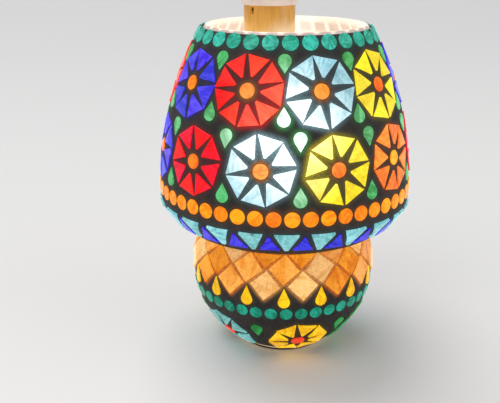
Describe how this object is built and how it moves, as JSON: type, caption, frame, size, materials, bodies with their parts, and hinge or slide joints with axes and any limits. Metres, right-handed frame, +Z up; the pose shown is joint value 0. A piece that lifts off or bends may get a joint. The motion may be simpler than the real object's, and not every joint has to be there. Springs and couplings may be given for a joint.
{
  "type": "mosaic glass table lamp",
  "caption": "A mosaic glass table lamp: a round tiled shade with flowers and dots on a tiled glass base, and a hanging bulb holder.",
  "frame": {"origin": "middle of the foot, on the surface the lamp stands on", "axes": "+Z up; -Y is the front, the side that the lamp is seen from; +X to the right"},
  "size_m": [0.175, 0.175, 0.271],
  "materials": {
    "clear_glass": "clear blown glass, lit from inside",
    "grout": "dark cement grout, slightly rough",
    "teal_glass": "streaky teal stained glass",
    "blue_glass": "deep blue stained glass",
    "red_glass": "red stained glass",
    "white_glass": "pale ice blue stained glass",
    "yellow_glass": "yellow stained glass",
    "orange_glass": "orange stained glass",
    "green_glass": "mottled green stained glass",
    "pale_blue_glass": "speckled pale blue stained glass",
    "cream_glass": "mottled cream stained glass",
    "peach_glass": "mottled peach stained glass",
    "amber_glass": "mottled amber stained glass",
    "felt": "black felt",
    "rubber": "matt black rubber",
    "ring_steel": "pressed zinc-plated steel",
    "strap_steel": "bent spring steel strip",
    "screw_steel": "zinc-plated steel screws",
    "cap_plastic": "white moulded plastic",
    "skirt_plastic": "amber translucent moulded plastic",
    "insert_plastic": "brown phenolic moulding",
    "sleeve_metal": "plated sheet sleeve",
    "contact_brass": "brass contacts",
    "spring_wire": "spring wire",
    "bulb_glass": "opal white glass, glowing",
    "cap_metal": "bulb cap",
    "black_glass": "black insulating glass"
  },
  "bodies": {
    "base": {"foot_pad": "felt", "base_glass": "clear_glass", "base_grout": "grout", "seat_ring": "rubber", "base_flowers_yellow": "yellow_glass", "base_flowers_blue": "pale_blue_glass", "base_flowers_green": "green_glass", "base_flower_centres": "orange_glass", "base_leaf_drops": "green_glass", "base_teal_dots": "teal_glass", "base_yellow_drops": "yellow_glass", "base_tiles_cream": "cream_glass", "base_tiles_peach": "peach_glass", "base_tiles_amber": "amber_glass", "base_shoulder_drops": "yellow_glass"},
    "shade": {"shade_glass": "clear_glass", "shade_grout": "grout", "gallery_ring": "ring_steel", "shade_teal_dots": "teal_glass", "upper_flowers_blue": "blue_glass", "upper_flowers_red": "red_glass", "upper_flowers_white": "white_glass", "upper_flowers_yellow": "yellow_glass", "upper_flower_centres": "orange_glass", "lower_flowers_red": "red_glass", "lower_flowers_white": "white_glass", "lower_flowers_yellow": "yellow_glass", "lower_flowers_orange": "orange_glass", "lower_flowers_blue": "blue_glass", "lower_flower_centres": "orange_glass", "shade_drops_upper": "green_glass", "shade_drops_middle": "green_glass", "shade_drops_lower": "green_glass", "shade_orange_dots": "orange_glass", "shade_triangles_pale": "pale_blue_glass", "shade_triangles_blue": "blue_glass"},
    "holder": {"bracket_arm": "strap_steel", "rim_pad": "rubber", "bracket_screws": "screw_steel", "holder_cap": "cap_plastic", "holder_skirt": "skirt_plastic", "holder_insert": "insert_plastic", "bayonet_sleeve": "sleeve_metal", "terminals": "contact_brass", "terminal_screws": "screw_steel", "cord_grip": "cap_plastic", "grip_screws": "screw_steel", "spring_left": "spring_wire", "spring_right": "spring_wire"},
    "plunger_l": {"plunger_left": "contact_brass"},
    "plunger_r": {"plunger_right": "contact_brass"},
    "bulb": {"bulb_glass": "bulb_glass", "bulb_cap": "cap_metal", "cap_pins": "contact_brass", "cap_insulator": "black_glass", "cap_contacts": "contact_brass", "bulb_stem": "clear_glass", "lead_wires": "screw_steel", "filament": "spring_wire"}
  },
  "joints": [
    {"name": "shade_lift", "type": "slide", "parent": "base", "child": "shade", "axis": [0, 0, 1], "range_m": [0, 0.03]},
    {"name": "holder_lift", "type": "slide", "parent": "shade", "child": "holder", "axis": [0, 0, 1], "range_m": [0, 0.105]},
    {"name": "bulb_twist", "type": "hinge", "parent": "holder", "child": "bulb", "pos_m": [-0.011, 0, 0.2247], "axis": [0, 0, 1], "range_deg": [0, 18]},
    {"name": "plunger_left_push", "type": "slide", "parent": "holder", "child": "plunger_l", "axis": [0, 0, 1], "range_m": [0, 0.0025], "stiffness_N_per_m": 400, "springref_m": -0.0015, "deforming": ["spring_left"]},
    {"name": "plunger_right_push", "type": "slide", "parent": "holder", "child": "plunger_r", "axis": [0, 0, 1], "range_m": [0, 0.0025], "stiffness_N_per_m": 400, "springref_m": -0.0015, "deforming": ["spring_right"]}
  ]
}
